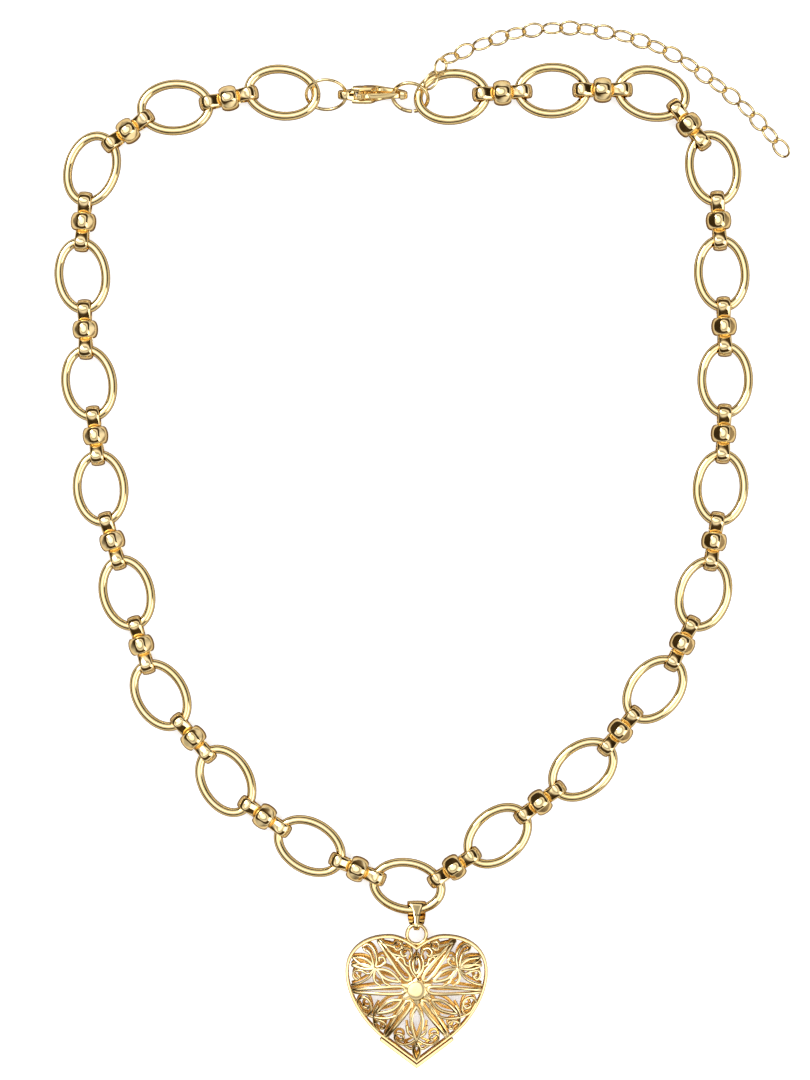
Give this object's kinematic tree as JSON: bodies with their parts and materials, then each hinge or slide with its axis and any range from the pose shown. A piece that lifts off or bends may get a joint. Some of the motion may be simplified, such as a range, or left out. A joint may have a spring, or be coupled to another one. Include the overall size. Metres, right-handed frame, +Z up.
{
  "type": "pendant necklace",
  "caption": "Chunky oval-link necklace with pinched strip connectors, a puffed openwork heart on a folded bail, a lobster clasp and a light extender chain.",
  "frame": {"origin": "middle of the necklace's box, on the table that it lies on", "axes": "+Y from the heart's point to the clasp, +X across the loop, +Z up from the table"},
  "size_m": [0.1288, 0.1834, 0.0074],
  "materials": {
    "polished_gold": "bright polished gold plating",
    "deep_gold": "polished gold plating, deeper in the recesses",
    "spring_steel": "bright drawn spring wire"
  },
  "bodies": {
    "centre_link": {"oval_link_centre": "polished_gold"},
    "connector_left_1": {"connector_left_1": "polished_gold"},
    "oval_link_left_1": {"oval_link_left_1": "polished_gold"},
    "connector_left_2": {"connector_left_2": "polished_gold"},
    "oval_link_left_2": {"oval_link_left_2": "polished_gold"},
    "connector_left_3": {"connector_left_3": "polished_gold"},
    "oval_link_left_3": {"oval_link_left_3": "polished_gold"},
    "connector_left_4": {"connector_left_4": "polished_gold"},
    "oval_link_left_4": {"oval_link_left_4": "polished_gold"},
    "connector_left_5": {"connector_left_5": "polished_gold"},
    "oval_link_left_5": {"oval_link_left_5": "polished_gold"},
    "connector_left_6": {"connector_left_6": "polished_gold"},
    "oval_link_left_6": {"oval_link_left_6": "polished_gold"},
    "connector_left_7": {"connector_left_7": "polished_gold"},
    "oval_link_left_7": {"oval_link_left_7": "polished_gold"},
    "connector_left_8": {"connector_left_8": "polished_gold"},
    "oval_link_left_8": {"oval_link_left_8": "polished_gold"},
    "connector_left_9": {"connector_left_9": "polished_gold"},
    "oval_link_left_9": {"oval_link_left_9": "polished_gold"},
    "connector_left_10": {"connector_left_10": "polished_gold"},
    "oval_link_left_10": {"oval_link_left_10": "polished_gold"},
    "connector_right_1": {"connector_right_1": "polished_gold"},
    "oval_link_right_1": {"oval_link_right_1": "polished_gold"},
    "connector_right_2": {"connector_right_2": "polished_gold"},
    "oval_link_right_2": {"oval_link_right_2": "polished_gold"},
    "connector_right_3": {"connector_right_3": "polished_gold"},
    "oval_link_right_3": {"oval_link_right_3": "polished_gold"},
    "connector_right_4": {"connector_right_4": "polished_gold"},
    "oval_link_right_4": {"oval_link_right_4": "polished_gold"},
    "connector_right_5": {"connector_right_5": "polished_gold"},
    "oval_link_right_5": {"oval_link_right_5": "polished_gold"},
    "connector_right_6": {"connector_right_6": "polished_gold"},
    "oval_link_right_6": {"oval_link_right_6": "polished_gold"},
    "connector_right_7": {"connector_right_7": "polished_gold"},
    "oval_link_right_7": {"oval_link_right_7": "polished_gold"},
    "connector_right_8": {"connector_right_8": "polished_gold"},
    "oval_link_right_8": {"oval_link_right_8": "polished_gold"},
    "connector_right_9": {"connector_right_9": "polished_gold"},
    "oval_link_right_9": {"oval_link_right_9": "polished_gold"},
    "connector_right_10": {"connector_right_10": "polished_gold"},
    "oval_link_right_10": {"oval_link_right_10": "polished_gold"},
    "connector_right_11": {"connector_right_11": "polished_gold"},
    "oval_link_right_11": {"oval_link_right_11": "polished_gold"},
    "bail": {"bail": "polished_gold"},
    "heart": {"heart_front_shell": "polished_gold", "heart_back_shell": "deep_gold", "heart_tip_strip": "polished_gold", "pendant_ring": "polished_gold"},
    "clasp": {"clasp_body": "polished_gold", "clasp_rivet": "deep_gold", "clasp_spring": "spring_steel"},
    "clasp_lever": {"clasp_lever": "polished_gold"},
    "tail_jump_ring": {"tail_jump_ring": "polished_gold"},
    "end_jump_ring": {"end_jump_ring": "polished_gold"},
    "extender_links_1": {"extender_links_1": "polished_gold"},
    "extender_links_2": {"extender_links_2": "polished_gold"},
    "extender_links_3": {"extender_links_3": "polished_gold"},
    "extender_links_4": {"extender_links_4": "polished_gold"},
    "extender_links_5": {"extender_links_5": "polished_gold"},
    "extender_links_6": {"extender_links_6": "polished_gold"}
  },
  "joints": [
    {"name": "left_side_lift", "type": "hinge", "parent": "centre_link", "child": "connector_left_1", "pos_m": [-0.00832, -0.0581, 0.00235], "axis": [0.0226, 0.9997, 0.0018], "range_deg": [0, 20]},
    {"name": "right_side_lift", "type": "hinge", "parent": "centre_link", "child": "connector_right_1", "pos_m": [0.00259, -0.05841, 0.00235], "axis": [0.0569, -0.9984, -0.0018], "range_deg": [0, 20]},
    {"name": "oval_link_left_1_roll", "type": "hinge", "parent": "connector_left_1", "child": "oval_link_left_1", "pos_m": [-0.01452, -0.05546, 0.00235], "axis": [-0.867, 0.4984, 0], "range_deg": [-10, 10]},
    {"name": "connector_left_2_roll", "type": "hinge", "parent": "connector_left_1", "child": "connector_left_2", "pos_m": [-0.02767, -0.04758, 0.00235], "axis": [-0.8262, 0.5634, 0], "range_deg": [-10, 10]},
    {"name": "oval_link_left_2_roll", "type": "hinge", "parent": "connector_left_1", "child": "oval_link_left_2", "pos_m": [-0.03059, -0.0456, 0.00235], "axis": [-0.6229, 0.7823, 0], "range_deg": [-10, 10]},
    {"name": "connector_left_3_roll", "type": "hinge", "parent": "connector_left_1", "child": "connector_left_3", "pos_m": [-0.04013, -0.03383, 0.00235], "axis": [-0.6521, 0.7581, 0], "range_deg": [-10, 10]},
    {"name": "oval_link_left_3_roll", "type": "hinge", "parent": "connector_left_1", "child": "oval_link_left_3", "pos_m": [-0.04243, -0.03115, 0.00235], "axis": [-0.4965, 0.868, 0], "range_deg": [-10, 10]},
    {"name": "connector_left_4_roll", "type": "hinge", "parent": "connector_left_1", "child": "connector_left_4", "pos_m": [-0.04924, -0.01758, 0.00235], "axis": [-0.28, 0.96, 0], "range_deg": [-10, 10]},
    {"name": "oval_link_left_4_roll", "type": "hinge", "parent": "connector_left_1", "child": "oval_link_left_4", "pos_m": [-0.05023, -0.01417, 0.00235], "axis": [-0.2604, 0.9655, 0], "range_deg": [-10, 10]},
    {"name": "connector_left_5_roll", "type": "hinge", "parent": "connector_left_1", "child": "connector_left_5", "pos_m": [-0.05431, 0.00065, 0.00235], "axis": [-0.2809, 0.9597, 0], "range_deg": [-10, 10]},
    {"name": "oval_link_left_5_roll", "type": "hinge", "parent": "connector_left_1", "child": "oval_link_left_5", "pos_m": [-0.0553, 0.00405, 0.00235], "axis": [-0.1377, 0.9905, 0], "range_deg": [-10, 10]},
    {"name": "connector_left_6_roll", "type": "hinge", "parent": "connector_left_1", "child": "connector_left_6", "pos_m": [-0.05727, 0.01906, 0.00235], "axis": [-0.1011, 0.9949, 0], "range_deg": [-10, 10]},
    {"name": "oval_link_left_6_roll", "type": "hinge", "parent": "connector_left_1", "child": "oval_link_left_6", "pos_m": [-0.0576, 0.02238, 0.00235], "axis": [-0.1133, 0.9936, 0], "range_deg": [-10, 10]},
    {"name": "connector_left_7_roll", "type": "hinge", "parent": "connector_left_1", "child": "connector_left_7", "pos_m": [-0.05905, 0.03763, 0.00235], "axis": [-0.0311, 0.9995, 0], "range_deg": [-10, 10]},
    {"name": "oval_link_left_7_roll", "type": "hinge", "parent": "connector_left_1", "child": "oval_link_left_7", "pos_m": [-0.05916, 0.04114, 0.00235], "axis": [-0.0416, 0.9991, 0], "range_deg": [-10, 10]},
    {"name": "connector_left_8_roll", "type": "hinge", "parent": "connector_left_1", "child": "connector_left_8", "pos_m": [-0.05936, 0.05646, 0.00235], "axis": [0.0842, 0.9964, 0], "range_deg": [-10, 10]},
    {"name": "oval_link_left_8_roll", "type": "hinge", "parent": "connector_left_1", "child": "oval_link_left_8", "pos_m": [-0.05906, 0.05998, 0.00235], "axis": [0.4072, 0.9133, 0], "range_deg": [-10, 10]},
    {"name": "connector_left_9_roll", "type": "hinge", "parent": "connector_left_1", "child": "connector_left_9", "pos_m": [-0.05156, 0.07235, 0.00235], "axis": [0.808, 0.5891, 0], "range_deg": [-10, 10]},
    {"name": "oval_link_left_9_roll", "type": "hinge", "parent": "connector_left_1", "child": "oval_link_left_9", "pos_m": [-0.04863, 0.07449, 0.00235], "axis": [0.9693, 0.2458, 0], "range_deg": [-6, 6]},
    {"name": "connector_left_10_roll", "type": "hinge", "parent": "connector_left_1", "child": "connector_left_10", "pos_m": [-0.03393, 0.0781, 0.00235], "axis": [0.9766, 0.2153, 0], "range_deg": [-6, 7]},
    {"name": "oval_link_left_10_roll", "type": "hinge", "parent": "connector_left_1", "child": "oval_link_left_10", "pos_m": [-0.03039, 0.07888, 0.00235], "axis": [1, -0.0055, 0], "range_deg": [-6, 1]},
    {"name": "oval_link_right_1_roll", "type": "hinge", "parent": "connector_right_1", "child": "oval_link_right_1", "pos_m": [0.00843, -0.05454, 0.00235], "axis": [0.7851, 0.6194, 0], "range_deg": [-10, 10]},
    {"name": "connector_right_2_roll", "type": "hinge", "parent": "connector_right_1", "child": "connector_right_2", "pos_m": [0.02053, -0.04509, 0.00235], "axis": [0.7973, 0.6035, 0], "range_deg": [-10, 10]},
    {"name": "oval_link_right_2_roll", "type": "hinge", "parent": "connector_right_1", "child": "oval_link_right_2", "pos_m": [0.02334, -0.04297, 0.00235], "axis": [0.7586, 0.6516, 0], "range_deg": [-10, 10]},
    {"name": "connector_right_3_roll", "type": "hinge", "parent": "connector_right_1", "child": "connector_right_3", "pos_m": [0.03455, -0.03259, 0.00235], "axis": [0.6438, 0.7652, 0], "range_deg": [-10, 10]},
    {"name": "oval_link_right_3_roll", "type": "hinge", "parent": "connector_right_1", "child": "oval_link_right_3", "pos_m": [0.03682, -0.02989, 0.00235], "axis": [0.5977, 0.8017, 0], "range_deg": [-10, 10]},
    {"name": "connector_right_4_roll", "type": "hinge", "parent": "connector_right_1", "child": "connector_right_4", "pos_m": [0.04541, -0.0173, 0.00235], "axis": [0.4427, 0.8967, 0], "range_deg": [-10, 10]},
    {"name": "oval_link_right_4_roll", "type": "hinge", "parent": "connector_right_1", "child": "oval_link_right_4", "pos_m": [0.04697, -0.01415, 0.00235], "axis": [0.2956, 0.9553, 0], "range_deg": [-10, 10]},
    {"name": "connector_right_5_roll", "type": "hinge", "parent": "connector_right_1", "child": "connector_right_5", "pos_m": [0.05097, 0.00058, 0.00235], "axis": [0.1482, 0.989, 0], "range_deg": [-10, 10]},
    {"name": "oval_link_right_5_roll", "type": "hinge", "parent": "connector_right_1", "child": "oval_link_right_5", "pos_m": [0.05149, 0.00406, 0.00235], "axis": [0.0829, 0.9966, 0], "range_deg": [-10, 10]},
    {"name": "connector_right_6_roll", "type": "hinge", "parent": "connector_right_1", "child": "connector_right_6", "pos_m": [0.05264, 0.01939, 0.00235], "axis": [0.0459, 0.9989, 0], "range_deg": [-10, 10]},
    {"name": "oval_link_right_6_roll", "type": "hinge", "parent": "connector_right_1", "child": "oval_link_right_6", "pos_m": [0.0528, 0.02293, 0.00235], "axis": [0.0036, 1, 0], "range_deg": [-10, 10]},
    {"name": "connector_right_7_roll", "type": "hinge", "parent": "connector_right_1", "child": "connector_right_7", "pos_m": [0.05274, 0.03815, 0.00235], "axis": [-0.0309, 0.9995, 0], "range_deg": [-10, 10]},
    {"name": "oval_link_right_7_roll", "type": "hinge", "parent": "connector_right_1", "child": "oval_link_right_7", "pos_m": [0.05263, 0.04153, 0.00235], "axis": [-0.0573, 0.9984, 0], "range_deg": [-10, 10]},
    {"name": "connector_right_8_roll", "type": "hinge", "parent": "connector_right_1", "child": "connector_right_8", "pos_m": [0.05176, 0.05667, 0.00235], "axis": [-0.0566, 0.9984, 0], "range_deg": [-10, 10]},
    {"name": "oval_link_right_8_roll", "type": "hinge", "parent": "connector_right_1", "child": "oval_link_right_8", "pos_m": [0.05158, 0.05998, 0.00235], "axis": [-0.2726, 0.9621, 0], "range_deg": [-10, 10]},
    {"name": "connector_right_9_roll", "type": "hinge", "parent": "connector_right_1", "child": "connector_right_9", "pos_m": [0.04657, 0.07347, 0.00235], "axis": [-0.614, 0.7893, 0], "range_deg": [-10, 10]},
    {"name": "oval_link_right_9_roll", "type": "hinge", "parent": "connector_right_1", "child": "oval_link_right_9", "pos_m": [0.0447, 0.07587, 0.00235], "axis": [-0.9427, 0.3337, 0], "range_deg": [-10, 10]},
    {"name": "connector_right_10_roll", "type": "hinge", "parent": "connector_right_1", "child": "connector_right_10", "pos_m": [0.03146, 0.07954, 0.00235], "axis": [-1, -0.0072, 0], "range_deg": [-10, 10]},
    {"name": "oval_link_right_10_roll", "type": "hinge", "parent": "connector_right_1", "child": "oval_link_right_10", "pos_m": [0.02865, 0.07952, 0.00235], "axis": [-0.9997, -0.0259, 0], "range_deg": [-10, 10]},
    {"name": "connector_right_11_roll", "type": "hinge", "parent": "connector_right_1", "child": "connector_right_11", "pos_m": [0.01392, 0.07903, 0.00235], "axis": [-0.998, -0.0631, 0], "range_deg": [-10, 10]},
    {"name": "oval_link_right_11_roll", "type": "hinge", "parent": "connector_right_1", "child": "oval_link_right_11", "pos_m": [0.01103, 0.07885, 0.00235], "axis": [-1, -0.0063, 0], "range_deg": [0, 10]},
    {"name": "bail_swing", "type": "hinge", "parent": "centre_link", "child": "bail", "pos_m": [-0.00107, -0.06411, 0.00235], "axis": [-1, 0, 0], "range_deg": [0, 80]},
    {"name": "heart_swing", "type": "hinge", "parent": "bail", "child": "heart", "pos_m": [-0.00107, -0.06634, 0.0037], "axis": [-1, 0, 0], "range_deg": [0, 45]},
    {"name": "tail_jump_ring_roll", "type": "hinge", "parent": "connector_left_1", "child": "tail_jump_ring", "pos_m": [-0.01687, 0.07863, 0.003], "axis": [1, 0, 0], "range_deg": [-1, 5]},
    {"name": "clasp_roll", "type": "hinge", "parent": "connector_left_1", "child": "clasp", "pos_m": [-0.01347, 0.07863, 0.003], "axis": [0.9987, 0.014, -0.0489], "range_deg": [-3, 6]},
    {"name": "clasp_lever_press", "type": "hinge", "parent": "clasp", "child": "clasp_lever", "pos_m": [-0.01007, 0.07849, 0.00348], "axis": [0, 0.9613, 0.2756], "range_deg": [0, 7], "stiffness_Nm_per_rad": 0.002, "springref_deg": -11.46},
    {"name": "end_jump_ring_roll", "type": "hinge", "parent": "connector_right_1", "child": "end_jump_ring", "pos_m": [-0.00216, 0.07826, 0.0026], "axis": [0.9877, -0.1564, 0], "range_deg": [0, 3]},
    {"name": "extender_1_swing", "type": "hinge", "parent": "connector_right_1", "child": "extender_links_1", "pos_m": [0.0007, 0.07939, 0.0041], "axis": [0, 0, 1], "range_deg": [-1, 14]},
    {"name": "extender_2_swing", "type": "hinge", "parent": "extender_links_1", "child": "extender_links_2", "pos_m": [0.00888, 0.08721, 0.0011], "axis": [0, 0, 1], "range_deg": [-1, 18]},
    {"name": "extender_3_swing", "type": "hinge", "parent": "extender_links_2", "child": "extender_links_3", "pos_m": [0.02106, 0.09045, 0.0011], "axis": [0, 0, 1], "range_deg": [-2, 12]},
    {"name": "extender_4_swing", "type": "hinge", "parent": "extender_links_3", "child": "extender_links_4", "pos_m": [0.03362, 0.08957, 0.0011], "axis": [0, 0, 1], "range_deg": [-3, 12]},
    {"name": "extender_5_swing", "type": "hinge", "parent": "extender_links_4", "child": "extender_links_5", "pos_m": [0.0454, 0.08512, 0.0011], "axis": [0, 0, 1], "range_deg": [-3, 12]},
    {"name": "extender_6_swing", "type": "hinge", "parent": "extender_links_5", "child": "extender_links_6", "pos_m": [0.05552, 0.07756, 0.0011], "axis": [0, 0, 1], "range_deg": [-4, 12]}
  ]
}
